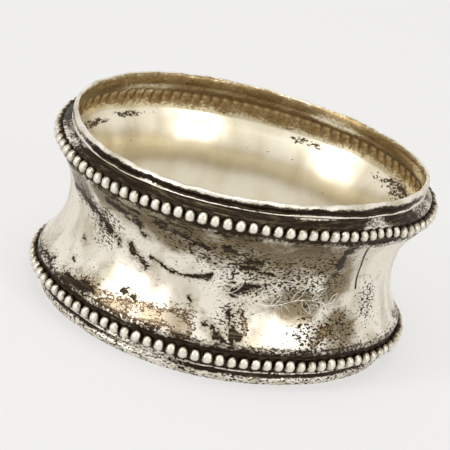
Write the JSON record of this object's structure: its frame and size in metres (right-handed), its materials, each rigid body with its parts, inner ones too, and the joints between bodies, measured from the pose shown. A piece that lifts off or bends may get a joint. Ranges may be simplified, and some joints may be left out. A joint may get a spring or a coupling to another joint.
{
  "type": "napkin ring",
  "caption": "Old silver napkin ring: a sheet hoop with a hollow waist and a beaded, ribbed border at each end, knocked a little out of round; holds a rolled napkin.",
  "frame": {"origin": "on the surface it stands on, in the middle of the lower end's outline", "axes": "+Z is the hoop's axis, upwards; -Y is the side seen first, +X is to the right of it"},
  "size_m": [0.0509, 0.0467, 0.0253],
  "materials": {
    "silver": "worn silver, tarnished brown and black in the grooves"
  },
  "bodies": {
    "root": {"napkin_ring": "silver"}
  },
  "joints": []
}
